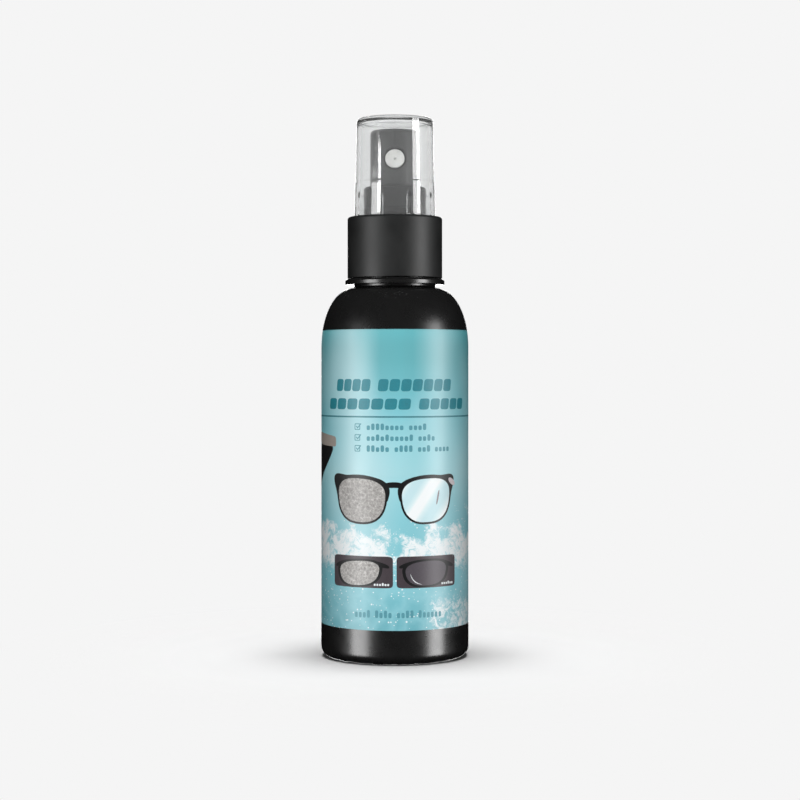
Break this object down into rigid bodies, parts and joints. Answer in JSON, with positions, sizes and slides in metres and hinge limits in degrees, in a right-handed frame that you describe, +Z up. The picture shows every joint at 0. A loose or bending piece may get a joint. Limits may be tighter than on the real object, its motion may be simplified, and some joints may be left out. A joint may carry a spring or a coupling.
{
  "type": "pump spray bottle",
  "caption": "Round-shouldered cylindrical spray bottle for lens cleaner, with a screw-on fine mist pump, a push button with a front nozzle and a clear pull-off overcap.",
  "frame": {"origin": "centre of the bottle's foot circle, on the plane that the foot stands on", "axes": "+Z up along the bottle's axis; the spray leaves towards -Y; +X is to the right of someone facing the nozzle"},
  "size_m": [0.04, 0.04, 0.1455],
  "materials": {
    "black_pet": "glossy blow moulded PET, black",
    "label_film": "printed shrink film, aqua and white, satin gloss",
    "black_pp": "satin injection moulded polypropylene, black",
    "clear_styrene": "clear polished styrene acrylonitrile",
    "seal_elastomer": "soft sealing elastomer, off-white",
    "natural_pp": "natural polypropylene, milky",
    "white_acetal": "white moulded acetal",
    "natural_pe": "natural polyethylene, waxy",
    "spring_steel": "drawn stainless spring wire",
    "polished_steel": "polished stainless ball",
    "tube_pe": "extruded translucent polyethylene"
  },
  "bodies": {
    "bottle": {"bottle": "black_pet", "label_sleeve": "label_film"},
    "pump": {"turret": "black_pp", "pump_housing": "natural_pp", "neck_gasket": "seal_elastomer", "stem_seal": "seal_elastomer", "ball_cage": "natural_pp", "return_spring": "spring_steel", "dip_tube": "tube_pe"},
    "closure": {"closure": "black_pp"},
    "overcap": {"overcap": "clear_styrene"},
    "stem": {"stem": "white_acetal", "valve_pin": "white_acetal"},
    "actuator": {"actuator": "black_pp", "nozzle_insert": "white_acetal"},
    "piston": {"piston": "natural_pe"},
    "ball": {"inlet_ball": "polished_steel"}
  },
  "joints": [
    {"name": "pump_rise", "type": "slide", "parent": "bottle", "child": "pump", "axis": [0, 0, 1], "range_m": [0, 0.00476]},
    {"name": "closure_unscrew", "type": "hinge", "parent": "pump", "child": "closure", "pos_m": [0, 0, 0.11], "axis": [0, 0, 1], "range_deg": [0, 540]},
    {"name": "overcap_lift", "type": "slide", "parent": "pump", "child": "overcap", "axis": [0, 0, 1], "range_m": [0, 0.03]},
    {"name": "spray_press", "type": "slide", "parent": "pump", "child": "stem", "axis": [0, 0, -1], "range_m": [0, 0.0045], "stiffness_N_per_m": 900, "springref_m": -0.004, "deforming": ["return_spring"]},
    {"name": "actuator_turn", "type": "hinge", "parent": "stem", "child": "actuator", "pos_m": [0, 0, 0.13], "axis": [0, 0, 1], "continuous": true},
    {"name": "piston_slip", "type": "slide", "parent": "stem", "child": "piston", "axis": [0, 0, 1], "range_m": [0, 0.0006]},
    {"name": "ball_lift", "type": "slide", "parent": "pump", "child": "ball", "axis": [0, 0, 1], "range_m": [0, 0.001]}
  ],
  "couplings": [
    {"joint": "closure_unscrew", "follows": "pump_rise", "rad_per_m": 1979}
  ]
}
